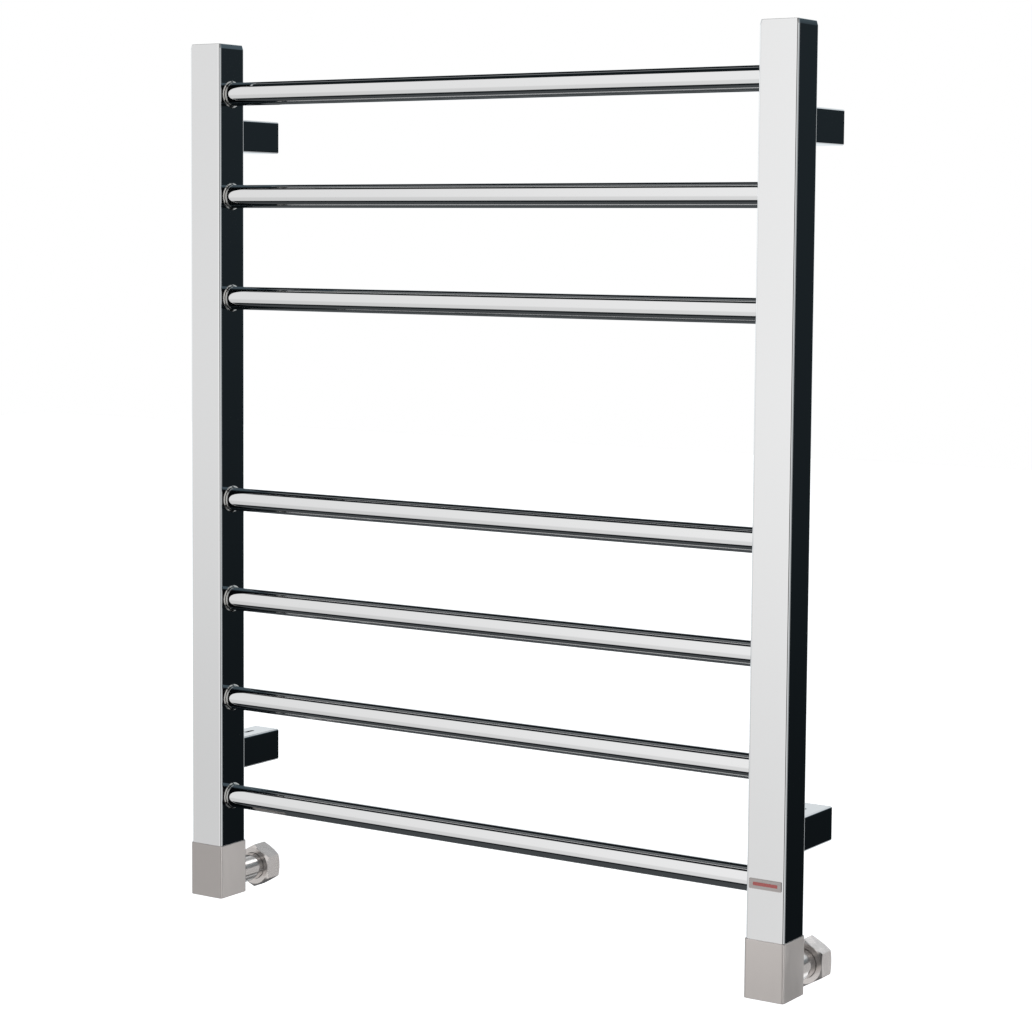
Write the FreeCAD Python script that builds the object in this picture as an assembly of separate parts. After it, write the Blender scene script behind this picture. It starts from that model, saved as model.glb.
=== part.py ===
import FreeCAD, Part
import math
import os

# Water-heated ladder towel rail: two square uprights, seven round rungs, four
# telescopic wall brackets and two square angle connectors with union nuts.
# Frame: origin on the wall, at the centre of the rectangle of the four wall screws.
# +X to the right, +Y into the wall, +Z up. All sizes are in millimetres.

# Overall sizes
AXIS_DISTANCE = 500.0           # between the two uprights' axes, and so between the two pipes
UPRIGHT_HEIGHT = 630.0          # from the upright's lower end to the top of its cap
WALL_DISTANCE = 46.0            # from the wall to the uprights' back faces

# Uprights and caps
UPRIGHT_SIDE = 30.0
UPRIGHT_WALL = 1.5
UPRIGHT_CORNER = 2.0
CAP_HEIGHT = 4.0
CAP_TAPER_HEIGHT = 3.4          # upper part of the cap, which leans inwards
CAP_TAPER_INSET = 0.9
BOSS_HEIGHT = 16.0

# Rungs
RUNG_DIAMETER = 18.0
RUNG_WALL = 1.2
RUNG_FROM_END = 38.5            # outer rungs' axes from the uprights' ends
RUNG_PLACES = 8                 # evenly spaced places
EMPTY_PLACE = 4                 # the place without a rung, counted from 0 at the bottom
RUNG_INSERT = 2.0               # how far a rung's end stands inside the upright
WELD_LEG = 1.6                  # weld bead's height on the upright
WELD_RUN = 1.8                  # weld bead's length along the rung

# Wall brackets
BRACKET_FROM_END = 70.0         # bracket axes from the uprights' ends
SLEEVE_SIDE = 25.0
SLEEVE_WALL = 1.5
SLEEVE_CORNER = 1.5
SLEEVE_WALL_GAP = 0.5           # between a sleeve's end and the wall
SLEEVE_WELD_LEG = 0.5           # weld bead's width on the upright
SLEEVE_WELD_RUN = 1.2           # weld bead's length along the sleeve
ANCHOR_LENGTH = 34.0
ANCHOR_CORNER = 1.0
ANCHOR_WEB = 8.0                # solid end that the wall screw's head pulls on
WALL_SCREW_HOLE = 6.5
SCREW_HEAD_ROOM = 13.0          # bore that the screw head and its driver pass through
LOCK_SCREW_DIAMETER = 5.0
LOCK_SCREW_LENGTH = 4.0
LOCK_SCREW_FROM_WALL = 26.5
LOCK_KEY = 2.5                  # hexagon key, across flats
LOCK_KEY_DEPTH = 2.2
SLOT_WIDTH = 3.4                # slot for the key in the sleeve's top
ADJUSTMENT = 7.5                # travel of the rail on its anchors

# Square angle connectors
CONNECTOR_OVERSIZE = 0.75       # how far a connector stands out past the upright, each side
CONNECTOR_HEIGHT = 42.0
CONNECTOR_CORNER = 2.2
NIPPLE_DIAMETER = 20.95         # G 1/2 thread
NIPPLE_BORE = 14.0
NIPPLE_REACH = 12.0             # into the boss, and into the connector
SEAL_WIDTH = 2.0
SEAL_HEIGHT = 1.6
WATERWAY = 15.0

# Tail pipes and union nuts
PIPE_BELOW_UPRIGHT = 29.0
PIPE_DIAMETER = 21.3
PIPE_BORE = 16.0
PIPE_INSERT = 6.0
COLLAR_WIDTH = 1.1
COLLAR_LENGTH = 2.5
GASKET_LENGTH = 2.0
NUT_ACROSS_FLATS = 30.0
NUT_FROM_WALL = 2.0
NUT_SHOULDER = 3.0
NUT_THREAD_RADIUS = 12.06       # G 3/4 minor radius
NUT_THREAD_LENGTH = 7.4
NUT_MOUTH = 0.6                 # chamfer at the thread's mouth
NUT_UNDERCUT = 0.3              # depth of the groove behind the thread

# Air-bleed valve at the back of the right upright
BLEED_FROM_TOP = 22.0
BLEED_BOSS_DIAMETER = 16.0
BLEED_BOSS_PROUD = 1.5
BLEED_BOSS_DEPTH = 6.5
BLEED_THREAD = 9.7              # G 1/8 thread
BLEED_THREAD_LENGTH = 6.0
BLEED_SEAL_LENGTH = 1.0
BLEED_HEX = 12.0
BLEED_HEX_LENGTH = 4.0
BLEED_NECK_DIAMETER = 9.0
BLEED_NECK_LENGTH = 3.0
BLEED_SCREW_DIAMETER = 5.0
BLEED_HEAD_DIAMETER = 7.0
BLEED_HEAD_LENGTH = 2.0
BLEED_HEAD_SLOT = 1.0

# Plate on the right upright
PLATE_WIDTH = 25.0
PLATE_HEIGHT = 7.2
PLATE_THICKNESS = 0.5
PLATE_CORNER = 0.8
PLATE_FROM_BOTTOM = 39.5

# Clearances
THREAD_CLEARANCE = 0.05         # radial, between parts that screw together
RUNNING_CLEARANCE = 0.05        # radial, between the bleed screw and its bore
SLIDING_CLEARANCE = 0.3         # each side, between anchor and sleeve, nut and pipe
WELD_CLEARANCE = 0.05           # radial, between a rung and its hole

X = FreeCAD.Vector(1, 0, 0)
Y = FreeCAD.Vector(0, 1, 0)
Z = FreeCAD.Vector(0, 0, 1)

UPRIGHT_BACK = -WALL_DISTANCE
UPRIGHT_AXIS = UPRIGHT_BACK - UPRIGHT_SIDE / 2
UPRIGHT_FRONT = UPRIGHT_BACK - UPRIGHT_SIDE
BOTTOM = -UPRIGHT_HEIGHT / 2
TOP = UPRIGHT_HEIGHT / 2
INNER_FACE = AXIS_DISTANCE / 2 - UPRIGHT_SIDE / 2
RUNG_PITCH = (UPRIGHT_HEIGHT - 2 * RUNG_FROM_END) / (RUNG_PLACES - 1)
BRACKET_LEVEL = UPRIGHT_HEIGHT / 2 - BRACKET_FROM_END
PIPE_LEVEL = BOTTOM - PIPE_BELOW_UPRIGHT
SIDES = (("left", -1), ("right", 1))
LEVELS = (("upper", 1), ("lower", -1))


def rung_levels():
    """Heights of the rungs' axes, bottom to top."""
    places = [place for place in range(RUNG_PLACES) if place != EMPTY_PLACE]
    return [BOTTOM + RUNG_FROM_END + place * RUNG_PITCH for place in places]


def cylinder(radius, start, along, length):
    return Part.makeCylinder(radius, length, start, along)


def ring(outer_radius, inner_radius, start, along, length):
    outer = cylinder(outer_radius, start, along, length)
    return outer.cut(cylinder(inner_radius, start, along, length))


def square_bar(side, corner, start, along, length):
    """Bar centred on its start point, with its four long edges rounded."""
    across = [axis for axis in (X, Y, Z) if axis != along]
    low = start - (across[0] + across[1]) * (side / 2)
    size = (across[0] + across[1]) * side + along * length
    bar = Part.makeBox(size.x, size.y, size.z, low)
    if corner <= 0:
        return bar
    long_edges = [edge for edge in bar.Edges if abs(edge.tangentAt(0).dot(along)) > 0.99]
    return bar.makeFillet(corner, long_edges)


def square_tube(side, wall, corner, start, along, length):
    outer = square_bar(side, corner, start, along, length)
    inner = square_bar(side - 2 * wall, corner - wall, start, along, length)
    return outer.cut(inner)


def hexagon_bar(across_flats, start, length):
    """Hexagonal bar along +Y with two flats facing +X and -X."""
    corner_radius = across_flats / math.sqrt(3)
    corners = []
    for step in range(7):
        angle = math.radians(30 + 60 * step)
        corners.append(start + X * (corner_radius * math.cos(angle)) + Z * (corner_radius * math.sin(angle)))
    return Part.Face(Part.makePolygon(corners)).extrude(Y * length)


def turned_hexagon(across_flats, start, length):
    """Hexagonal bar whose corners are turned off at 30 degrees at both ends."""
    corner_radius = across_flats / math.sqrt(3)
    end_radius = across_flats / 2 - 0.3
    depth = (corner_radius - end_radius) * math.tan(math.radians(30))
    front = Part.makeCone(end_radius, corner_radius, depth, start, Y)
    middle = cylinder(corner_radius, start + Y * depth, Y, length - 2 * depth)
    back = Part.makeCone(corner_radius, end_radius, depth, start + Y * (length - depth), Y)
    envelope = front.fuse([middle, back])
    return hexagon_bar(across_flats, start, length).common(envelope)


def weld_bead(centre, towards_middle):
    """Bead round a rung's root: a slightly rounded fillet between rung and upright."""
    radius = RUNG_DIAMETER / 2
    root = centre + Z * radius
    crest = centre + Z * (radius + WELD_LEG)
    toe = centre + Z * radius + X * (towards_middle * WELD_RUN)
    bulge = centre + Z * (radius + 0.6 * WELD_LEG) + X * (towards_middle * 0.6 * WELD_RUN)
    edges = [Part.makeLine(root, crest), Part.Arc(crest, bulge, toe).toShape(), Part.makeLine(toe, root)]
    return Part.Face(Part.Wire(edges)).revolve(centre, X, 360)


def rounded_square(side, corner, centre, along):
    """Outline of a bar's end: the wire of the end face that lies on the centre point."""
    bar = square_bar(side, corner, centre, along, 1.0)
    ends = [face for face in bar.Faces if face.Area > side * side / 2
            and abs((face.CenterOfMass - centre).dot(along)) < 0.001]
    return ends[0].OuterWire


def tapered_square(start_side, end_side, corner, start, along, length):
    wires = [rounded_square(start_side, corner, start, along),
             rounded_square(end_side, corner, start + along * length, along)]
    return Part.makeLoft(wires, True, True)


def top_cap(x):
    """Solid plate on the upright's end, its four sides leaning in towards the top."""
    start = FreeCAD.Vector(x, UPRIGHT_AXIS, TOP - CAP_HEIGHT)
    straight = CAP_HEIGHT - CAP_TAPER_HEIGHT
    foot = square_bar(UPRIGHT_SIDE, UPRIGHT_CORNER, start, Z, straight)
    top = tapered_square(UPRIGHT_SIDE, UPRIGHT_SIDE - 2 * CAP_TAPER_INSET, UPRIGHT_CORNER,
                         start + Z * straight, Z, CAP_TAPER_HEIGHT)
    return foot.fuse(top)


def upright(x, towards_middle, bleed_hole):
    """Square tube with a hole for each rung in its inner face, open at its lower end."""
    start = FreeCAD.Vector(x, UPRIGHT_AXIS, BOTTOM)
    length = UPRIGHT_HEIGHT - CAP_HEIGHT
    tube = square_tube(UPRIGHT_SIDE, UPRIGHT_WALL, UPRIGHT_CORNER, start, Z, length)
    holes = []
    for level in rung_levels():
        axis_point = FreeCAD.Vector(x, UPRIGHT_AXIS, level)
        radius = RUNG_DIAMETER / 2 + WELD_CLEARANCE
        holes.append(cylinder(radius, axis_point, X * towards_middle, UPRIGHT_SIDE))
    if bleed_hole:
        back_point = FreeCAD.Vector(x, UPRIGHT_AXIS, TOP - BLEED_FROM_TOP)
        holes.append(cylinder(BLEED_BOSS_DIAMETER / 2, back_point, Y, UPRIGHT_SIDE))
    return tube.cut(holes)


def rung(level):
    half_length = INNER_FACE + UPRIGHT_WALL + RUNG_INSERT
    start = FreeCAD.Vector(-half_length, UPRIGHT_AXIS, level)
    radius = RUNG_DIAMETER / 2
    return ring(radius, radius - RUNG_WALL, start, X, 2 * half_length)


def bottom_boss(x):
    """Square plug welded in the upright's lower end, with a G 1/2 thread for the nipple."""
    start = FreeCAD.Vector(x, UPRIGHT_AXIS, BOTTOM)
    side = UPRIGHT_SIDE - 2 * UPRIGHT_WALL
    plug = square_bar(side, UPRIGHT_CORNER - UPRIGHT_WALL, start, Z, BOSS_HEIGHT)
    return plug.cut(cylinder(NIPPLE_DIAMETER / 2 + THREAD_CLEARANCE, start, Z, BOSS_HEIGHT))


def sleeve(x, z):
    """Bracket tube welded to the upright's back, with a key slot along its top wall."""
    start = FreeCAD.Vector(x, UPRIGHT_BACK, z)
    length = WALL_DISTANCE - SLEEVE_WALL_GAP
    tube = square_tube(SLEEVE_SIDE, SLEEVE_WALL, SLEEVE_CORNER, start, Y, length)
    slot_start = FreeCAD.Vector(x, -LOCK_SCREW_FROM_WALL, z)
    near_end = cylinder(SLOT_WIDTH / 2, slot_start, Z, SLEEVE_SIDE)
    far_end = cylinder(SLOT_WIDTH / 2, slot_start + Y * ADJUSTMENT, Z, SLEEVE_SIDE)
    straight = Part.makeBox(SLOT_WIDTH, ADJUSTMENT, SLEEVE_SIDE, slot_start - X * (SLOT_WIDTH / 2))
    return tube.cut([near_end, far_end, straight])


def sleeve_weld(x, z):
    """Bead round a sleeve's root, on the upright's back."""
    start = FreeCAD.Vector(x, UPRIGHT_BACK, z)
    bead = tapered_square(SLEEVE_SIDE + 2 * SLEEVE_WELD_LEG, SLEEVE_SIDE, SLEEVE_CORNER,
                          start, Y, SLEEVE_WELD_RUN)
    return bead.cut(square_bar(SLEEVE_SIDE, SLEEVE_CORNER, start, Y, SLEEVE_WELD_RUN))


def anchor(x, z):
    """Square block that slides in a sleeve: screw hole in its wall end, lock screw hole on top."""
    side = SLEEVE_SIDE - 2 * SLEEVE_WALL - 2 * SLIDING_CLEARANCE
    block = square_bar(side, ANCHOR_CORNER, FreeCAD.Vector(x, -ANCHOR_LENGTH, z), Y, ANCHOR_LENGTH)
    head_room = cylinder(SCREW_HEAD_ROOM / 2, FreeCAD.Vector(x, -ANCHOR_LENGTH, z), Y,
                         ANCHOR_LENGTH - ANCHOR_WEB)
    screw_hole = cylinder(WALL_SCREW_HOLE / 2, FreeCAD.Vector(x, -ANCHOR_WEB, z), Y, ANCHOR_WEB)
    lock_radius = LOCK_SCREW_DIAMETER / 2 + THREAD_CLEARANCE
    lock_hole = cylinder(lock_radius, FreeCAD.Vector(x, -LOCK_SCREW_FROM_WALL, z), Z, side)
    return block.cut([head_room, screw_hole, lock_hole])


def lock_screw(x, z):
    """Set screw standing in the anchor's top wall, with a hexagon socket facing up."""
    anchor_top = z + SLEEVE_SIDE / 2 - SLEEVE_WALL - SLIDING_CLEARANCE
    start = FreeCAD.Vector(x, -LOCK_SCREW_FROM_WALL, anchor_top - LOCK_SCREW_LENGTH)
    body = cylinder(LOCK_SCREW_DIAMETER / 2, start, Z, LOCK_SCREW_LENGTH)
    corner_radius = LOCK_KEY / math.sqrt(3)
    socket_floor = start + Z * (LOCK_SCREW_LENGTH - LOCK_KEY_DEPTH)
    corners = []
    for step in range(7):
        angle = math.radians(60 * step)
        corners.append(socket_floor + X * (corner_radius * math.cos(angle))
                       + Y * (corner_radius * math.sin(angle)))
    socket = Part.Face(Part.makePolygon(corners)).extrude(Z * LOCK_KEY_DEPTH)
    return body.cut(socket)


def connector(x):
    """Square elbow: nipple thread and seal seat on top, pipe socket in its back, drilled waterway."""
    bottom = FreeCAD.Vector(x, UPRIGHT_AXIS, BOTTOM - CONNECTOR_HEIGHT)
    side = UPRIGHT_SIDE + 2 * CONNECTOR_OVERSIZE
    body = square_bar(side, CONNECTOR_CORNER, bottom, Z, CONNECTOR_HEIGHT)
    top = FreeCAD.Vector(x, UPRIGHT_AXIS, BOTTOM)
    bend = FreeCAD.Vector(x, UPRIGHT_AXIS, PIPE_LEVEL)
    nipple_hole = cylinder(NIPPLE_DIAMETER / 2 + THREAD_CLEARANCE, top, -Z, NIPPLE_REACH)
    seal_seat = cylinder(NIPPLE_DIAMETER / 2 + SEAL_WIDTH + THREAD_CLEARANCE, top, -Z, SEAL_HEIGHT)
    down = cylinder(WATERWAY / 2, top, -Z, PIPE_BELOW_UPRIGHT)
    elbow = Part.makeSphere(WATERWAY / 2, bend)
    back = cylinder(WATERWAY / 2, bend, Y, side / 2)
    pipe_start = bend + Y * (side / 2 - PIPE_INSERT)
    pipe_socket = cylinder(PIPE_DIAMETER / 2 + THREAD_CLEARANCE, pipe_start, Y, PIPE_INSERT)
    return body.cut([nipple_hole, seal_seat, down, elbow, back, pipe_socket])


def nipple(x):
    start = FreeCAD.Vector(x, UPRIGHT_AXIS, BOTTOM - NIPPLE_REACH)
    return ring(NIPPLE_DIAMETER / 2, NIPPLE_BORE / 2, start, Z, 2 * NIPPLE_REACH)


def nipple_seal(x):
    start = FreeCAD.Vector(x, UPRIGHT_AXIS, BOTTOM - SEAL_HEIGHT)
    return ring(NIPPLE_DIAMETER / 2 + SEAL_WIDTH, NIPPLE_DIAMETER / 2, start, Z, SEAL_HEIGHT)


# Places along the pipe, measured from the wall and tied to the nut's thread
THREAD_START = -NUT_FROM_WALL - NUT_MOUTH - NUT_THREAD_LENGTH
GASKET_START = THREAD_START - GASKET_LENGTH
COLLAR_START = GASKET_START - COLLAR_LENGTH
SHOULDER_END = COLLAR_START - SLIDING_CLEARANCE
NUT_START = SHOULDER_END - NUT_SHOULDER
COLLAR_RADIUS = PIPE_DIAMETER / 2 + COLLAR_WIDTH


def tail_pipe(x):
    """Pipe from the connector's back to a collar that the union nut pulls on."""
    pipe_start = UPRIGHT_BACK + CONNECTOR_OVERSIZE - PIPE_INSERT
    start = FreeCAD.Vector(x, pipe_start, PIPE_LEVEL)
    pipe = cylinder(PIPE_DIAMETER / 2, start, Y, GASKET_START - pipe_start)
    collar = cylinder(COLLAR_RADIUS, FreeCAD.Vector(x, COLLAR_START, PIPE_LEVEL), Y, COLLAR_LENGTH)
    bore = cylinder(PIPE_BORE / 2, start, Y, GASKET_START - pipe_start)
    return pipe.fuse(collar).cut(bore).removeSplitter()


def union_gasket(x):
    start = FreeCAD.Vector(x, GASKET_START, PIPE_LEVEL)
    return ring(COLLAR_RADIUS, PIPE_BORE / 2, start, Y, GASKET_LENGTH)


def union_nut(x):
    """Hexagonal nut: shoulder behind the collar, undercut, G 3/4 thread and a chamfered mouth."""
    start = FreeCAD.Vector(x, NUT_START, PIPE_LEVEL)
    nut_end = -NUT_FROM_WALL
    nut = turned_hexagon(NUT_ACROSS_FLATS, start, nut_end - NUT_START)
    pipe_hole = cylinder(PIPE_DIAMETER / 2 + SLIDING_CLEARANCE, start, Y, NUT_SHOULDER)
    undercut_radius = NUT_THREAD_RADIUS + NUT_UNDERCUT
    undercut = cylinder(undercut_radius, FreeCAD.Vector(x, SHOULDER_END, PIPE_LEVEL), Y,
                        THREAD_START - SHOULDER_END)
    thread = cylinder(NUT_THREAD_RADIUS, FreeCAD.Vector(x, THREAD_START, PIPE_LEVEL), Y,
                      nut_end - THREAD_START)
    mouth = Part.makeCone(NUT_THREAD_RADIUS, NUT_THREAD_RADIUS + NUT_MOUTH, NUT_MOUTH,
                          FreeCAD.Vector(x, nut_end - NUT_MOUTH, PIPE_LEVEL), Y)
    return nut.cut([pipe_hole, undercut, thread, mouth])


# Air-bleed valve: places along its axis, from the boss outwards
BLEED_X = AXIS_DISTANCE / 2
BLEED_LEVEL = TOP - BLEED_FROM_TOP
BLEED_BOSS_END = UPRIGHT_BACK + BLEED_BOSS_PROUD
BLEED_HEX_START = BLEED_BOSS_END + BLEED_SEAL_LENGTH
BLEED_NECK_START = BLEED_HEX_START + BLEED_HEX_LENGTH
BLEED_NECK_END = BLEED_NECK_START + BLEED_NECK_LENGTH
BLEED_THREAD_START = BLEED_HEX_START - BLEED_THREAD_LENGTH


def bleed_point(y):
    return FreeCAD.Vector(BLEED_X, y, BLEED_LEVEL)


def bleed_boss():
    """Threaded ring welded in the upright's back wall."""
    start = bleed_point(BLEED_BOSS_END - BLEED_BOSS_DEPTH)
    return ring(BLEED_BOSS_DIAMETER / 2, BLEED_THREAD / 2 + THREAD_CLEARANCE, start, Y, BLEED_BOSS_DEPTH)


def bleed_seal():
    start = bleed_point(BLEED_BOSS_END)
    return ring(BLEED_HEX / 2, BLEED_THREAD / 2 + THREAD_CLEARANCE, start, Y, BLEED_SEAL_LENGTH)


def bleed_valve():
    """Hexagonal body with a thread at the front and a round neck at the back."""
    thread = cylinder(BLEED_THREAD / 2, bleed_point(BLEED_THREAD_START), Y, BLEED_THREAD_LENGTH)
    hexagon = turned_hexagon(BLEED_HEX, bleed_point(BLEED_HEX_START), BLEED_HEX_LENGTH)
    neck = cylinder(BLEED_NECK_DIAMETER / 2, bleed_point(BLEED_NECK_START), Y, BLEED_NECK_LENGTH)
    length = BLEED_NECK_END - BLEED_THREAD_START
    bore_radius = BLEED_SCREW_DIAMETER / 2 + RUNNING_CLEARANCE
    bore = cylinder(bore_radius, bleed_point(BLEED_THREAD_START), Y, length)
    return hexagon.fuse([thread, neck]).cut(bore).removeSplitter()


def bleed_screw():
    """Screw that closes the valve, with a slotted head outside the neck."""
    shank_length = BLEED_NECK_END - BLEED_THREAD_START
    shank = cylinder(BLEED_SCREW_DIAMETER / 2, bleed_point(BLEED_THREAD_START), Y,
                     shank_length + SLIDING_CLEARANCE)
    head_start = bleed_point(BLEED_NECK_END + SLIDING_CLEARANCE)
    head = cylinder(BLEED_HEAD_DIAMETER / 2, head_start, Y, BLEED_HEAD_LENGTH)
    slot_corner = head_start + Y * (BLEED_HEAD_LENGTH / 2) - Z * (BLEED_HEAD_SLOT / 2)
    slot = Part.makeBox(BLEED_HEAD_DIAMETER, BLEED_HEAD_LENGTH, BLEED_HEAD_SLOT,
                        slot_corner - X * (BLEED_HEAD_DIAMETER / 2))
    return shank.fuse(head).cut(slot).removeSplitter()


def nameplate():
    """Small blank plate on the front of the right upright."""
    corner = FreeCAD.Vector(AXIS_DISTANCE / 2 - PLATE_WIDTH / 2, UPRIGHT_FRONT - PLATE_THICKNESS,
                            BOTTOM + PLATE_FROM_BOTTOM - PLATE_HEIGHT / 2)
    plate = Part.makeBox(PLATE_WIDTH, PLATE_THICKNESS, PLATE_HEIGHT, corner)
    short_edges = [edge for edge in plate.Edges if abs(edge.tangentAt(0).dot(Y)) > 0.99]
    return plate.makeFillet(PLATE_CORNER, short_edges)


def save(name, shape):
    if not shape.isValid():
        raise ValueError(name + " is not a valid solid")
    shape.exportStep("parts/" + name + ".step")


os.makedirs("parts", exist_ok=True)

for side, sign in SIDES:
    x = sign * AXIS_DISTANCE / 2
    inner_face = sign * INNER_FACE
    save(side + "_upright", upright(x, -sign, side == "right"))
    save(side + "_top_cap", top_cap(x))
    save(side + "_bottom_boss", bottom_boss(x))
    beads = [weld_bead(FreeCAD.Vector(inner_face, UPRIGHT_AXIS, level), -sign) for level in rung_levels()]
    save(side + "_rung_welds", Part.makeCompound(beads))
    seams = [sleeve_weld(x, level_sign * BRACKET_LEVEL) for _, level_sign in LEVELS]
    save(side + "_bracket_welds", Part.makeCompound(seams))
    for level_name, level_sign in LEVELS:
        z = level_sign * BRACKET_LEVEL
        place = level_name + "_" + side
        save(place + "_sleeve", sleeve(x, z))
        save(place + "_anchor", anchor(x, z))
        save(place + "_lock_screw", lock_screw(x, z))
    save(side + "_connector", connector(x))
    save(side + "_nipple", nipple(x))
    save(side + "_nipple_seal", nipple_seal(x))
    save(side + "_tail_pipe", tail_pipe(x))
    save(side + "_union_gasket", union_gasket(x))
    save(side + "_union_nut", union_nut(x))

for number, level in enumerate(rung_levels(), start=1):
    save("rung_" + str(number), rung(level))

save("bleed_boss", bleed_boss())
save("bleed_seal", bleed_seal())
save("bleed_valve", bleed_valve())
save("bleed_screw", bleed_screw())
save("nameplate", nameplate())
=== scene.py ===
import math
import bmesh
import bpy
from mathutils import Matrix, Vector


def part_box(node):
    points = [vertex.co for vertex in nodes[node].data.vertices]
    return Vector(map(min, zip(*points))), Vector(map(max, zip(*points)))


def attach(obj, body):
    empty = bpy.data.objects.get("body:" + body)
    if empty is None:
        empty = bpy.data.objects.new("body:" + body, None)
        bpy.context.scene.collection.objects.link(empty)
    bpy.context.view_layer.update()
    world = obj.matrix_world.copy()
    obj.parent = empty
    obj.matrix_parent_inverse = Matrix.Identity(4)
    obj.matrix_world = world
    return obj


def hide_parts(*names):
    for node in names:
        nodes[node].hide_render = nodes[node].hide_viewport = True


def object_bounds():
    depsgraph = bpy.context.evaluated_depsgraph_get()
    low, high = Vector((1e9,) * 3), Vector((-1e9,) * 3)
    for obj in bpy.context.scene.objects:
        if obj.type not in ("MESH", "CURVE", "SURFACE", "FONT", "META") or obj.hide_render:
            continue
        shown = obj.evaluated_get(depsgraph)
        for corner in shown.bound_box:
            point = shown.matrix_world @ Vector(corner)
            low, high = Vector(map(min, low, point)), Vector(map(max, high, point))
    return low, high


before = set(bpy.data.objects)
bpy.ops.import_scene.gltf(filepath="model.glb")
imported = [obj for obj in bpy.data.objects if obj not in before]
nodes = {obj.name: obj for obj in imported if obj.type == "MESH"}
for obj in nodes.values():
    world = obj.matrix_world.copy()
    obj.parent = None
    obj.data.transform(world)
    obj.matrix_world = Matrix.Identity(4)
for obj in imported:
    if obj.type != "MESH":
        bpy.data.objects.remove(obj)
cad_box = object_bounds()
MM = 0.001

# ---- Studio ----
# The rail hangs free in front of a white backdrop, above a plain pale floor. A long
# lens looks at it from the right and a little above. Polished steel shows what is round
# it: a wide light tent on the room side, a lit backdrop far left, and dark flags between.
LENS = 90.86
LENS_SHIFT = -0.0595
CAMERA_PLACE = (1.0761, -1.644, 0.1677)
CAMERA_TURN = 33.41
CAMERA_TILT = -4.78
CAMERA_ROLL = 0.43
FLOOR_DROP = 0.75
FLOOR_REACH = 12.0
FLOOR_GLOW = 0.75

camera_data = bpy.data.cameras.new("camera")
camera_data.lens = LENS
camera_data.sensor_width = 36
camera_data.shift_y = LENS_SHIFT
camera = bpy.data.objects.new("camera", camera_data)
bpy.context.scene.collection.objects.link(camera)
turn = Matrix.Rotation(math.radians(CAMERA_TURN), 4, "Z")
tilt = Matrix.Rotation(math.radians(90 + CAMERA_TILT), 4, "X")
roll = Matrix.Rotation(math.radians(CAMERA_ROLL), 4, "Z")
camera.matrix_world = Matrix.Translation(CAMERA_PLACE) @ turn @ tilt @ roll
bpy.context.scene.camera = camera
bpy.context.scene.view_settings.view_transform = "Standard"


def add_node(tree, kind, **settings):
    made = tree.nodes.new("ShaderNode" + kind)
    for name, value in settings.items():
        setattr(made, name, value)
    return made


def fade(tree, source, start, end, low=0.0, high=1.0):
    """A socket that goes smoothly from low to high as the source goes from start to end."""
    step = add_node(tree, "MapRange", interpolation_type="SMOOTHSTEP")
    for name, value in (("From Min", start), ("From Max", end), ("To Min", low), ("To Max", high)):
        step.inputs[name].default_value = value
    tree.links.new(source, step.inputs["Value"])
    return step.outputs["Result"]


def combine(tree, operation, *terms):
    """Math on two terms, each a socket or a number."""
    made = add_node(tree, "Math", operation=operation)
    for socket, term in zip(made.inputs, terms):
        if isinstance(term, (int, float)):
            socket.default_value = term
        else:
            tree.links.new(term, socket)
    return made.outputs[0]


def between(tree, source, start, end, soft):
    """A socket that is 1 while the source lies between start and end, and 0 outside."""
    rise = fade(tree, source, start - soft, start + soft)
    fall = fade(tree, source, end + soft, end - soft)
    return combine(tree, "MULTIPLY", rise, fall)


world = bpy.data.worlds.new("studio")
bpy.context.scene.world = world
world.use_nodes = True
sky = world.node_tree
sky.nodes.clear()
split = add_node(sky, "SeparateXYZ")
sky.links.new(add_node(sky, "TexCoord").outputs["Generated"], split.inputs[0])
to_right, to_wall, upwards = split.outputs
to_room = combine(sky, "MULTIPLY", to_wall, -1.0)
lift = combine(sky, "ARCTAN2", upwards, to_room)


def arc(start, end, soft):
    """1 for directions whose lift round the rail lies between two angles in degrees."""
    return between(sky, lift, math.radians(start), math.radians(end), math.radians(soft))


def scaled(source, *factors):
    for factor in factors:
        source = combine(sky, "MULTIPLY", source, factor)
    return source


def summed(first, *others):
    for other in others:
        first = combine(sky, "ADD", first, other)
    return first


tent_level = fade(sky, to_right, -0.75, -0.4, 0.92, 1.13)
tent_foot = fade(sky, lift, math.radians(-18), math.radians(-3), 0.83, 1.0)
tent = scaled(arc(-45, 69, 2.5), fade(sky, to_right, 0.42, 0.26), tent_level, tent_foot)
side_strip = scaled(between(sky, to_right, 0.68, 0.95, 0.03), fade(sky, to_room, 0.05, 0.3), 0.7)

wall_side = fade(sky, to_wall, 0.1, 0.35)
on_left = fade(sky, to_right, 0.1, -0.3)
on_right = fade(sky, to_right, 0.0, 0.3)
backdrop = scaled(fade(sky, to_right, -0.1, -0.4), wall_side,
                  between(sky, upwards, -0.3, 0.3, 0.1), 0.9)
ceiling = scaled(arc(106, 115, 2.5), on_left, 0.26)
ground = scaled(summed(scaled(arc(-118, -60, 6), 0.07), scaled(arc(-134, -124, 3), 0.2)), on_left)
right_flag = scaled(fade(sky, upwards, -0.28, 0.14, 0.006, 0.026), on_right, wall_side)
high_right = scaled(between(sky, upwards, 0.24, 0.8, 0.06), on_right, wall_side, 0.12)
# Softboxes behind, above and below, kept to the middle so the side faces stay dark.
middle_band = between(sky, to_right, -0.37, 0.33, 0.04)
rear = scaled(wall_side, between(sky, upwards, -0.62, 0.66, 0.05), 0.85)
overhead = scaled(arc(79, 126, 3), 0.8)
underneath = scaled(arc(-110, -62, 6), 0.2)
middle_lights = scaled(summed(rear, overhead, underneath), middle_band)
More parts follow.
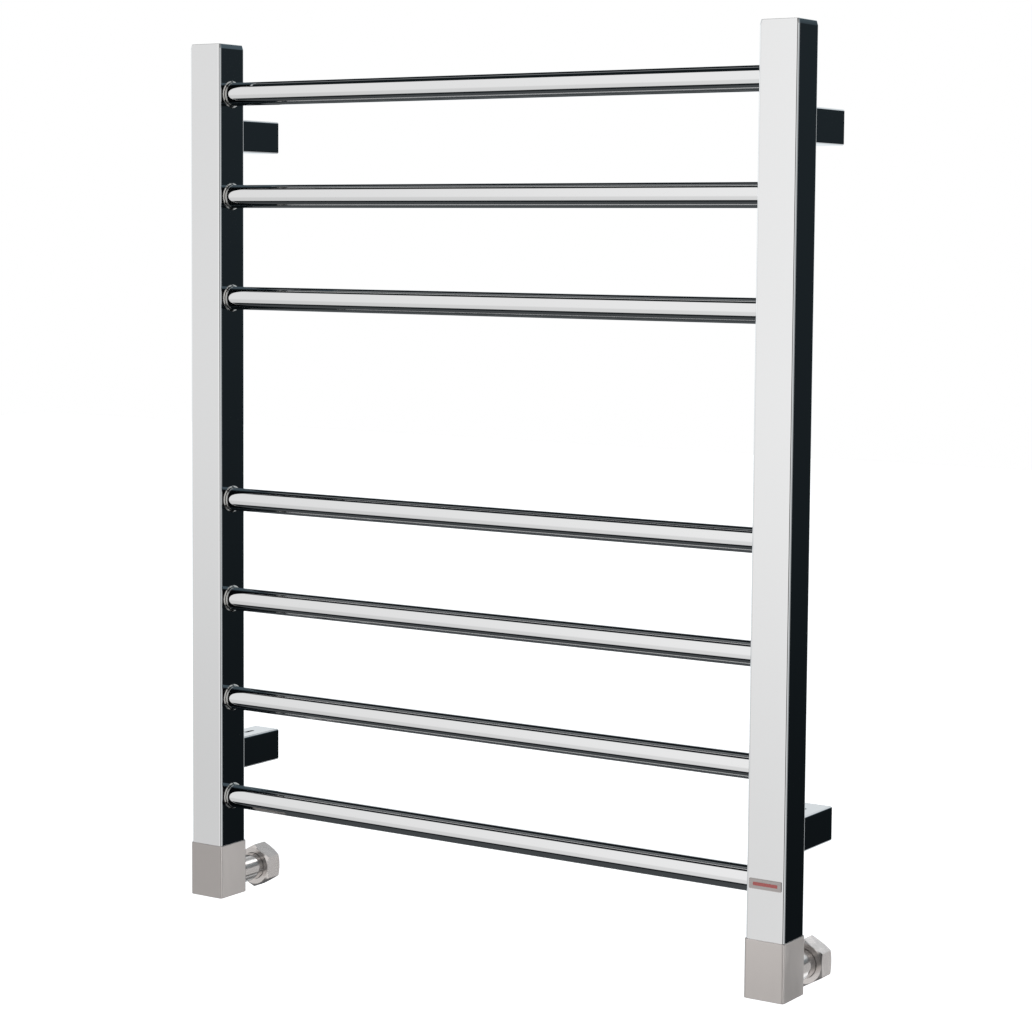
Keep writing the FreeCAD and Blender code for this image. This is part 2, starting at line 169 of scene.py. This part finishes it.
# Light from straight left and right, for the side faces seen side-on.
far_ends = scaled(summed(fade(sky, to_right, 0.85, 0.93), fade(sky, to_right, -0.85, -0.93)), 0.55)
rear_right = scaled(between(sky, to_right, 0.7, 0.82, 0.02), wall_side,
                    between(sky, upwards, -0.5, 0.5, 0.05), 0.5)
dark = summed(fade(sky, to_right, 0.0, -0.3, 0.004, 0.014), right_flag, high_right)
left_lines = summed(backdrop, ceiling, ground, middle_lights, far_ends, rear_right)
# The tent is neutral, the lines a little cool, and what is dark cooler still.
room = None
for level, tint in ((summed(tent, side_strip), (1, 1, 1)),
                    (left_lines, (0.92, 0.97, 1)),
                    (dark, (0.6, 0.84, 1))):
    glow = add_node(sky, "Background")
    glow.inputs["Color"].default_value = (*tint, 1)
    sky.links.new(level, glow.inputs["Strength"])
    if room is None:
        room = glow
    else:
        both = add_node(sky, "AddShader")
        sky.links.new(room.outputs[0], both.inputs[0])
        sky.links.new(glow.outputs[0], both.inputs[1])
        room = both
white = add_node(sky, "Background")
white.inputs["Color"].default_value = (1.0, 1.0, 1.0, 1.0)
choose = add_node(sky, "MixShader")
sky.links.new(add_node(sky, "LightPath").outputs["Is Camera Ray"], choose.inputs[0])
sky.links.new(room.outputs[0], choose.inputs[1])
sky.links.new(white.outputs[0], choose.inputs[2])
sky.links.new(choose.outputs[0], add_node(sky, "OutputWorld").inputs["Surface"])

floor_mesh = bpy.data.meshes.new("floor")
floor = bpy.data.objects.new("floor", floor_mesh)
bpy.context.scene.collection.objects.link(floor)
bm = bmesh.new()
floor_level = Matrix.Translation((0, 0, cad_box[0][2] - FLOOR_DROP))
bmesh.ops.create_grid(bm, x_segments=1, y_segments=1, size=FLOOR_REACH, matrix=floor_level)
bm.to_mesh(floor_mesh)
bm.free()
floor_paint = bpy.data.materials.new("floor_paint")
floor_paint.use_nodes = True
paint = floor_paint.node_tree.nodes["Principled BSDF"]
paint.inputs["Base Color"].default_value = (0.9, 0.9, 0.9, 1)
paint.inputs["Roughness"].default_value = 0.9
paint.inputs["Emission Color"].default_value = (1, 1, 1, 1)
paint.inputs["Emission Strength"].default_value = FLOOR_GLOW
floor_mesh.materials.append(floor_paint)
floor.visible_glossy = False

# ---- Uprights ----
# Two lengths of square stainless tube with small rounded corners. They are ground and
# then buffed along their length, so the mirror finish keeps a faint lengthwise grain,
# a slight waviness and a few soft smudges where hands have been.
UPRIGHT_WALL = 1.5 * MM
UPRIGHT_CORNER = 2.0 * MM
STEEL = (0.72, 0.72, 0.721)
POLISH_ROUGHNESS = (0.015, 0.05)
SMUDGE_SHARE = 0.75


def metal(name, colour, metallic=1.0, roughness=0.3):
    """A new material with its node tree and its main shader."""
    made = bpy.data.materials.new(name)
    made.use_nodes = True
    shader = made.node_tree.nodes["Principled BSDF"]
    shader.inputs["Base Color"].default_value = (*colour, 1)
    shader.inputs["Metallic"].default_value = metallic
    shader.inputs["Roughness"].default_value = roughness
    return made, made.node_tree, shader


def grain(tree, scale, stretch=(1, 1, 1), detail=3.0):
    """Noise fixed to the piece, stretched by a factor along each axis. Scale is per metre."""
    place = add_node(tree, "Mapping")
    place.inputs["Scale"].default_value = stretch
    tree.links.new(add_node(tree, "TexCoord").outputs["Object"], place.inputs["Vector"])
    noise = add_node(tree, "TexNoise")
    noise.inputs["Scale"].default_value = scale
    noise.inputs["Detail"].default_value = detail
    tree.links.new(place.outputs[0], noise.inputs["Vector"])
    return noise.outputs["Fac"]


def wear(tree, shader, source, start, end, smooth, rough):
    """Roughness that goes from smooth to rough as the source goes from start to end."""
    tree.links.new(fade(tree, source, start, end, smooth, rough), shader.inputs["Roughness"])


def relief(tree, shader, source, depth, before=None):
    """Bump of that depth in metres from a source, laid over an earlier bump if given."""
    bump = add_node(tree, "Bump")
    bump.inputs["Strength"].default_value = 1.0
    bump.inputs["Distance"].default_value = depth
    tree.links.new(source, bump.inputs["Height"])
    if before is not None:
        tree.links.new(before, bump.inputs["Normal"])
    tree.links.new(bump.outputs[0], shader.inputs["Normal"])
    return bump.outputs[0]


def polished_steel(name, stretch, colour=STEEL, wave=12e-6):
    made, tree, shader = metal(name, colour)
    smudge = grain(tree, 22, detail=4.0)
    fine = grain(tree, 900, stretch, 2.0)
    mixed = combine(tree, "ADD", combine(tree, "MULTIPLY", smudge, SMUDGE_SHARE),
                    combine(tree, "MULTIPLY", fine, 1 - SMUDGE_SHARE))
    wear(tree, shader, mixed, 0.38, 0.68, *POLISH_ROUGHNESS)
    wavy = relief(tree, shader, grain(tree, 30, stretch, 1.0), wave)
    relief(tree, shader, fine, 0.35e-6, wavy)
    return made


def rounded_bar(low, high, along, corner, segments=6):
    """A bmesh bar between two corners, with its four long edges rounded."""
    bm = bmesh.new()
    size = high - low
    place = Matrix.Translation((low + high) / 2) @ Matrix.Diagonal((*size, 1))
    bmesh.ops.create_cube(bm, size=1, matrix=place)
    long_edges = []
    for edge in bm.edges:
        direction = (edge.verts[0].co - edge.verts[1].co).normalized()
        if abs(direction[along]) > 0.99:
            long_edges.append(edge)
    bmesh.ops.bevel(bm, geom=long_edges, offset=corner, offset_type="OFFSET", segments=segments,
                    profile=0.5, affect="EDGES", material=-1)
    return bm


def end_faces(bm, along):
    return [f for f in bm.faces if abs(f.normal[along]) > 0.99 and len(f.verts) > 4]


def hollow(bm, along, wall):
    """Opens a bar into a tube: both ends are inset by the wall, and joined by an inner wall."""
    ends = end_faces(bm, along)
    bmesh.ops.inset_individual(bm, faces=ends, thickness=wall, use_even_offset=True)
    rims = [e for f in ends for e in f.edges]
    bmesh.ops.delete(bm, geom=ends, context="FACES_ONLY")
    bmesh.ops.bridge_loops(bm, edges=rims)


def make_piece(bm, name, finish, body, replaced=(), crease=35):
    """Turns a bmesh into a smooth-shaded piece with true flats, riding on its body."""
    bmesh.ops.recalc_face_normals(bm, faces=bm.faces)
    for face in bm.faces:
        face.smooth = True
    for edge in bm.edges:
        edge.smooth = edge.calc_face_angle(0) < math.radians(crease)
    mesh = bpy.data.meshes.new(name)
    bm.to_mesh(mesh)
    bm.free()
    mesh.materials.append(finish)
    piece = bpy.data.objects.new(name, mesh)
    bpy.context.scene.collection.objects.link(piece)
    weighted = piece.modifiers.new("true_flats", "WEIGHTED_NORMAL")
    weighted.keep_sharp = True
    weighted.weight = 100
    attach(piece, body)
    if replaced:
        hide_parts(*replaced)
    return piece


lengthwise_z = (1, 1, 0.02)
upright_finish = polished_steel("upright_polish", lengthwise_z)
for side in ("left", "right"):
    node = side + "_upright"
    bm = rounded_bar(*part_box(node), 2, UPRIGHT_CORNER)
    hollow(bm, 2, UPRIGHT_WALL)
    make_piece(bm, node + "_tube", upright_finish, "rail", [node])

# ---- Top caps ----
# A solid stainless plate closes each upright. It is welded on, ground flush with the
# tube, and its four sides lean inwards towards a softly rounded top edge.
CAP_STRAIGHT = 0.6 * MM
CAP_INSET = 0.7 * MM
CAP_EDGE = 0.35 * MM
for side in ("left", "right"):
    node = side + "_top_cap"
    low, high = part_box(node)
    foot_top = Vector((high.x, high.y, low.z + CAP_STRAIGHT))
    bm = rounded_bar(low, foot_top, 2, UPRIGHT_CORNER)
    top = [f for f in end_faces(bm, 2) if f.normal.z > 0]
    lifted = bmesh.ops.extrude_face_region(bm, geom=top)["geom"]
    bmesh.ops.delete(bm, geom=top, context="FACES_ONLY")
    rim = [v for v in lifted if isinstance(v, bmesh.types.BMVert)]
    bmesh.ops.translate(bm, verts=rim, vec=(0, 0, high.z - foot_top.z))
    centre = (low + high) / 2
    shrink = 1 - 2 * CAP_INSET / (high.x - low.x)
    to_centre = Matrix.Translation((-centre.x, -centre.y, 0))
    bmesh.ops.scale(bm, verts=rim, vec=(shrink, shrink, 1), space=to_centre)
    bm.normal_update()
    top_edges = [e for e in bm.edges if all(v in rim for v in e.verts)]
    bmesh.ops.bevel(bm, geom=top_edges, offset=CAP_EDGE, offset_type="OFFSET", segments=4,
                    profile=0.5, affect="EDGES", material=-1)
    make_piece(bm, node + "_plate", upright_finish, "rail", [node])

# ---- Rungs ----
# Seven round stainless tubes, buffed while they turn, so the faint grain runs round
# them. Their ends stand inside the uprights' inner faces.
RUNG_WALL = 1.2 * MM
rung_finish = polished_steel("rung_polish", (1, 0.08, 0.08), wave=4e-6)
rung_names = sorted(n for n in nodes if n.startswith("rung_"))


def turned(outline, centre, axis, steps=96):
    """A bmesh ring or solid: an outline of (along, radius) points, spun about an axis."""
    bm = bmesh.new()
    across = Vector((0, 0, 1)) if abs(axis.z) < 0.5 else Vector((1, 0, 0))
    verts = [bm.verts.new(centre + axis * along + across * radius) for along, radius in outline]
    edges = [bm.edges.new(pair) for pair in zip(verts, verts[1:] + verts[:1])]
    bmesh.ops.spin(bm, geom=verts + edges, cent=centre, axis=axis, angle=math.tau, steps=steps,
                   use_merge=True)
    bmesh.ops.remove_doubles(bm, verts=bm.verts, dist=1e-7)
    return bm


for node in rung_names:
    low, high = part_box(node)
    centre = (low + high) / 2
    radius = (high.z - low.z) / 2
    reach = (high.x - low.x) / 2
    inner = radius - RUNG_WALL
    outline = [(-reach, radius), (reach, radius), (reach, inner), (-reach, inner)]
    bm = turned(outline, centre, Vector((1, 0, 0)))
    make_piece(bm, node + "_tube", rung_finish, "rail", [node])

# ---- Rung welds ----
# A narrow bead runs round every rung where it meets the upright. It was laid in short
# overlapping steps and buffed over, so it is bright with slight ripples and a trace of
# straw colour from the heat.
WELD_LEG = 1.6 * MM
WELD_RUN = 1.8 * MM
RIPPLES = 40
RIPPLE_HEIGHT = 0.05 * MM
RIPPLE_CLEAR = 0.05 * MM
CROWN_STEPS = 7
weld_finish, tree, shader = metal("weld_polish", (0.5, 0.49, 0.47), roughness=0.14)
wear(tree, shader, grain(tree, 500, detail=4.0), 0.3, 0.7, 0.09, 0.22)
relief(tree, shader, grain(tree, 1400, detail=3.0), 6e-6)
for side, inwards in (("left", 1), ("right", -1)):
    bead = bmesh.new()
    face_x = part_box(side + "_rung_welds")[0 if inwards > 0 else 1].x
    for node in rung_names:
        low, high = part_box(node)
        radius = (high.z - low.z) / 2
        centre = Vector((face_x, (low.y + high.y) / 2, (low.z + high.z) / 2))
        crown = []
        for step in range(CROWN_STEPS):
            a = math.pi / 2 * step / CROWN_STEPS
            crown.append((WELD_RUN * math.sin(a) * 0.5 * (1 + math.sin(a)),
                          radius + WELD_LEG * math.cos(a) ** 1.3))
        ring = turned([(0, radius)] + crown + [(WELD_RUN, radius)], centre, Vector((inwards, 0, 0)))
        for vert in ring.verts:
            spoke = vert.co - centre
            off_upright = spoke.x * inwards > RIPPLE_CLEAR
            if off_upright and math.hypot(spoke.y, spoke.z) > radius + RIPPLE_CLEAR:
                ripple = math.sin(RIPPLES * math.atan2(spoke.z, spoke.y))
                vert.co.x += inwards * (ripple - 1) * RIPPLE_HEIGHT / 2
        part = bpy.data.meshes.new("bead")
        ring.to_mesh(part)
        ring.free()
        bead.from_mesh(part)
        bpy.data.meshes.remove(part)
    make_piece(bead, side + "_weld_beads", weld_finish, "rail",
               [side + "_rung_welds"])

# ---- Wall brackets ----
# Square sleeves welded behind the uprights slide over cast blocks that are screwed to
# the wall. A black set screw in each block, reached through the slot on top of the
# sleeve, locks the rail at its distance from the wall.


def dress(finish, *names):
    """Gives CAD nodes a finish in place of their plain one."""
    for name in names:
        mesh = nodes[name].data
        mesh.materials.clear()
        mesh.materials.append(finish)


corners = [level + "_" + side for level in ("upper", "lower") for side in ("left", "right")]
sleeve_finish = polished_steel("sleeve_polish", (1, 0.04, 1))
dress(sleeve_finish, *[corner + "_sleeve" for corner in corners])
dress(weld_finish, "left_bracket_welds", "right_bracket_welds")

cast_finish, tree, shader = metal("cast_block", (0.58, 0.58, 0.6), roughness=0.45)
wear(tree, shader, grain(tree, 260, detail=5.0), 0.35, 0.65, 0.36, 0.58)
relief(tree, shader, grain(tree, 1600, detail=4.0), 30e-6)
dress(cast_finish, *[corner + "_anchor" for corner in corners])

black_finish, tree, shader = metal("black_oxide", (0.05, 0.05, 0.055), roughness=0.4)
wear(tree, shader, grain(tree, 700, detail=4.0), 0.3, 0.7, 0.28, 0.5)
relief(tree, shader, grain(tree, 2500, detail=2.0), 5e-6)
dress(black_finish, *[corner + "_lock_screw" for corner in corners])

# ---- Bottom bosses, nipples and seals ----
# Inside each upright's lower end sits a turned steel plug. A brass nipple screws into
# it from the connector, with a black rubber ring round it. None of it shows when built.
boss_finish, tree, shader = metal("turned_steel", (0.56, 0.56, 0.55), roughness=0.3)
wear(tree, shader, grain(tree, 300, (1, 1, 8)), 0.3, 0.7, 0.22, 0.4)
relief(tree, shader, grain(tree, 500, (0.1, 0.1, 4)), 8e-6)
dress(boss_finish, "left_bottom_boss", "right_bottom_boss", "bleed_boss")

brass_finish, tree, shader = metal("machined_brass", (0.72, 0.52, 0.24), roughness=0.25)
wear(tree, shader, grain(tree, 300, (1, 1, 6)), 0.3, 0.7, 0.18, 0.36)
relief(tree, shader, grain(tree, 600, (0.1, 0.1, 4)), 6e-6)
dress(brass_finish, "left_nipple", "right_nipple")

rubber_finish, tree, shader = metal("black_rubber", (0.025, 0.025, 0.026), 0.0, 0.7)
wear(tree, shader, grain(tree, 400, detail=5.0), 0.3, 0.7, 0.6, 0.85)
relief(tree, shader, grain(tree, 1500, detail=3.0), 20e-6)
dress(rubber_finish, "left_nipple_seal", "right_nipple_seal", "bleed_seal")

# ---- Square connectors ----
# Square brass elbows under the uprights, a hair wider than the tube, machined,
# blasted with fine beads and plated in satin nickel, which looks warm beside the steel.
CONNECTOR_CORNER = 2.2 * MM
CONNECTOR_EDGE = 0.35 * MM
satin_finish, tree, shader = metal("satin_nickel_plate", (0.36, 0.335, 0.322), 0.6, 0.34)
wear(tree, shader, grain(tree, 90, (1, 1, 0.3), 5.0), 0.35, 0.65, 0.3, 0.38)
bead_blast = relief(tree, shader, grain(tree, 2600, detail=2.0), 5e-6)
relief(tree, shader, grain(tree, 260, (1, 1, 0.04), 2.0), 3e-6, bead_blast)
satin_parts = {side: bpy.data.collections.new(side + "_satin_parts") for side in ("left", "right")}
bright_parts = bpy.data.collections.new("bright_parts")
for side in ("left", "right"):
    node = side + "_connector"
    bm = rounded_bar(*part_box(node), 2, CONNECTOR_CORNER, segments=8)
    rims = [e for f in end_faces(bm, 2) for e in f.edges]
    bmesh.ops.bevel(bm, geom=rims, offset=CONNECTOR_EDGE, offset_type="OFFSET", segments=3,
                    profile=0.5, affect="EDGES", material=-1)
    body = make_piece(bm, node + "_body", satin_finish, "rail", [node])
    satin_parts[side].objects.link(body)

# ---- Tail pipes, gaskets and union nuts ----
# A half-inch pipe leaves the back of each connector. Its collar is pulled by a
# hexagonal nut with turned-off corners and a G 3/4 thread, onto a pressed fibre gasket.
# Pipe and nut are plated in bright nickel.
PIPE_RADIUS = 10.65 * MM
PIPE_BORE = 8.0 * MM
COLLAR_LENGTH = 2.5 * MM
PIPE_EDGE = 0.3 * MM
THREAD_PITCH = 1.814 * MM
THREAD_CREST = 12.06 * MM
THREAD_ROOT = 13.15 * MM
THREAD_LENGTH = 7.4 * MM
NUT_MOUTH = 0.6 * MM
NUT_HOLE = 10.95 * MM
NUT_SHOULDER = 3.0 * MM
NUT_TURNED_EDGE = 0.3 * MM
NUT_UNDERCUT = 0.3 * MM
NUT_STEPS = 120
NUT_CREASE = 14
CUT_OVERHANG = 2 * MM
bright_finish, tree, shader = metal("bright_nickel_plate", (0.62, 0.585, 0.565), 0.8, 0.12)
wear(tree, shader, grain(tree, 120, detail=4.0), 0.35, 0.65, 0.1, 0.2)
relief(tree, shader, grain(tree, 260, (1, 3, 1), 2.0), 6e-6)
fibre_finish, tree, shader = metal("pressed_fibre", (0.16, 0.24, 0.18), 0.0, 0.8)
wear(tree, shader, grain(tree, 500, detail=6.0), 0.3, 0.7, 0.7, 0.95)
relief(tree, shader, grain(tree, 1200, detail=5.0), 40e-6)
dress(fibre_finish, "left_union_gasket", "right_union_gasket")


def shared(first, second, name):
    """A bmesh of the volume that two closed bmeshes share."""
    both = []
    for bm, part in ((first, "a"), (second, "b")):
        bmesh.ops.recalc_face_normals(bm, faces=bm.faces)
        mesh = bpy.data.meshes.new(name + part)
        bm.to_mesh(mesh)
        bm.free()
        both.append(bpy.data.objects.new(name + part, mesh))
        bpy.context.scene.collection.objects.link(both[-1])
    cut = both[0].modifiers.new("shared", "BOOLEAN")
    cut.operation = "INTERSECT"
    cut.solver = "EXACT"
    cut.object = both[1]
    result = bmesh.new()
    result.from_object(both[0], bpy.context.evaluated_depsgraph_get())
    for used in both:
        bpy.data.meshes.remove(used.data)
    return result


for side in ("left", "right"):
    node = side + "_tail_pipe"
    low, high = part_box(node)
    centre = Vector(((low.x + high.x) / 2, low.y, (low.z + high.z) / 2))
    collar = (high.x - low.x) / 2
    length = high.y - low.y
    neck = length - COLLAR_LENGTH
    outline = [(0, PIPE_BORE), (0, PIPE_RADIUS), (neck - PIPE_EDGE, PIPE_RADIUS),
               (neck, PIPE_RADIUS + PIPE_EDGE), (neck, collar - PIPE_EDGE),
               (neck + PIPE_EDGE, collar), (length, collar), (length, PIPE_BORE)]
    bm = turned(outline, centre, Vector((0, 1, 0)))
    pipe = make_piece(bm, node + "_turned", bright_finish, "rail", [node])
    bright_parts.objects.link(pipe)

    node = side + "_union_nut"
    low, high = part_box(node)
    centre = Vector(((low.x + high.x) / 2, low.y, (low.z + high.z) / 2))
    length = high.y - low.y
    flat = (high.x - low.x) / 2
    corner = flat / math.cos(math.radians(30))
    turned_radius = flat - NUT_TURNED_EDGE
    slope = (corner - turned_radius) * math.tan(math.radians(30))
    outline = [(0, turned_radius), (slope, corner), (length - slope, corner),
               (length, turned_radius), (length, THREAD_CREST + NUT_MOUTH)]
    thread_end = length - NUT_MOUTH
    thread_start = thread_end - THREAD_LENGTH
    turns = int(THREAD_LENGTH / THREAD_PITCH)
    for turn_number in range(turns):
        start = thread_end - turn_number * THREAD_PITCH
        outline += [(start, THREAD_CREST), (start - THREAD_PITCH / 2, THREAD_ROOT)]
    outline += [(thread_start, THREAD_CREST), (thread_start, THREAD_CREST + NUT_UNDERCUT),
                (NUT_SHOULDER, THREAD_CREST + NUT_UNDERCUT), (NUT_SHOULDER, NUT_HOLE),
                (0, NUT_HOLE)]
    envelope = turned(outline, centre, Vector((0, 1, 0)), NUT_STEPS)
    prism = bmesh.new()
    along_y = Matrix.Rotation(math.radians(90), 4, "X")
    middle = Matrix.Translation(centre + Vector((0, length / 2, 0)))
    bmesh.ops.create_cone(prism, cap_ends=True, segments=6, radius1=corner, radius2=corner,
                          depth=length + CUT_OVERHANG, matrix=middle @ along_y)
    bm = shared(envelope, prism, node)
    nut = make_piece(bm, node + "_hexagon", bright_finish, side + "_nut",
                     [node], NUT_CREASE)
    bright_parts.objects.link(nut)


def panel(name, receivers, target, direction, distance, size, brightness):
    """A flat softbox that lights only the given parts. Brightness is its own, not its watts."""
    light = bpy.data.lights.new(name, "AREA")
    light.shape = "RECTANGLE"
    light.size, light.size_y = size
    light.energy = brightness * math.pi * size[0] * size[1]
    lamp = bpy.data.objects.new(name, light)
    bpy.context.scene.collection.objects.link(lamp)
    away = Vector(direction).normalized()
    place = Matrix.Translation(Vector(target) + away * distance)
    lamp.matrix_world = place @ away.to_track_quat("Z", "Y").to_matrix().to_4x4()
    lamp.light_linking.receiver_collection = receivers
    lamp.visible_camera = False


# The fittings are duller and warmer than the steel, so they get softboxes of their own.
left_low = (-0.25, -0.05, -0.34)
right_low = (0.25, -0.05, -0.34)
panel("left_side_panel", satin_parts["left"], left_low, (0.8, 0.6, -0.1), 0.5,
      (0.3, 0.4), 1.35)
panel("right_side_panel", satin_parts["right"], right_low, (0.8, 0.6, 0.1), 0.9,
      (0.5, 0.5), 4.4)
panel("right_front_panel", satin_parts["right"], right_low, (-0.45, -0.9, 0.1), 0.9,
      (0.4, 0.4), 3.2)
for side, target in (("left", left_low), ("right", right_low)):
    panel(side + "_corner_panel", satin_parts[side], target, (0.84, -0.5, 0.0), 1.2,
          (0.12, 0.5), 18.0)
low_centre = (0.0, 0.0, -0.34)
panel("bright_back_panel", bright_parts, low_centre, (0.1, 1.0, 0.2), 1.2, (2.6, 2.2), 0.1)
panel("bright_right_panel", bright_parts, low_centre, (0.75, 0.8, -0.25), 1.1, (1.0, 0.8), 0.5)
panel("bright_high_panel", bright_parts, low_centre, (0.24, 0.75, 0.61), 1.0, (0.9, 0.12), 3.0)

# ---- Air-bleed valve ----
# A small nickel-plated valve sits in a threaded ring behind the top of the right
# upright. A slotted screw in its end lets trapped air out when the rail is filled.
valve_finish, tree, shader = metal("valve_nickel", (0.6, 0.57, 0.55), 1.0, 0.18)
wear(tree, shader, grain(tree, 400, detail=4.0), 0.3, 0.7, 0.12, 0.26)
relief(tree, shader, grain(tree, 700, (1, 4, 1)), 6e-6)
dress(valve_finish, "bleed_valve", "bleed_screw")

# ---- Small plate ----
# A thin brushed plate is glued low on the right upright's front. Its middle is pressed
# in a little and carries a plain strip of dull red enamel, with no lettering.
PLATE_CORNER = 0.8 * MM
PLATE_RIM = 0.55 * MM
PLATE_SINK = 0.12 * MM
STRIP_SIZE = (19.0 * MM, 2.4 * MM)
STRIP_CORNER = 0.5 * MM
STRIP_FRONT = PLATE_SINK / 3
STRIP_BACK = PLATE_SINK * 1.5
plate_finish, tree, shader = metal("brushed_plate", (0.4, 0.37, 0.36), 1.0, 0.3)
wear(tree, shader, grain(tree, 900, (0.03, 1, 1)), 0.3, 0.7, 0.24, 0.42)
relief(tree, shader, grain(tree, 1800, (0.02, 1, 1)), 5e-6)
low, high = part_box("nameplate")
bm = rounded_bar(low, high, 1, PLATE_CORNER, segments=4)
front = [f for f in end_faces(bm, 1) if f.normal.y < 0]
bmesh.ops.inset_individual(bm, faces=front, thickness=PLATE_RIM, use_even_offset=True)
bmesh.ops.translate(bm, verts=front[0].verts, vec=(0, PLATE_SINK, 0))
make_piece(bm, "nameplate_pressed", plate_finish, "rail", ["nameplate"])

enamel_finish, tree, shader = metal("dull_red_enamel", (0.33, 0.075, 0.07), 0.0, 0.4)
wear(tree, shader, grain(tree, 900, detail=4.0), 0.3, 0.7, 0.3, 0.5)
relief(tree, shader, grain(tree, 1500, detail=2.0), 10e-6)
middle = (low + high) / 2
half = Vector((STRIP_SIZE[0] / 2, 0, STRIP_SIZE[1] / 2))
strip_low = Vector((middle.x, low.y + STRIP_FRONT, middle.z)) - half
strip_high = Vector((middle.x, low.y + STRIP_BACK, middle.z)) + half
bm = rounded_bar(strip_low, strip_high, 1, STRIP_CORNER, segments=4)
make_piece(bm, "nameplate_strip", enamel_finish, "rail")
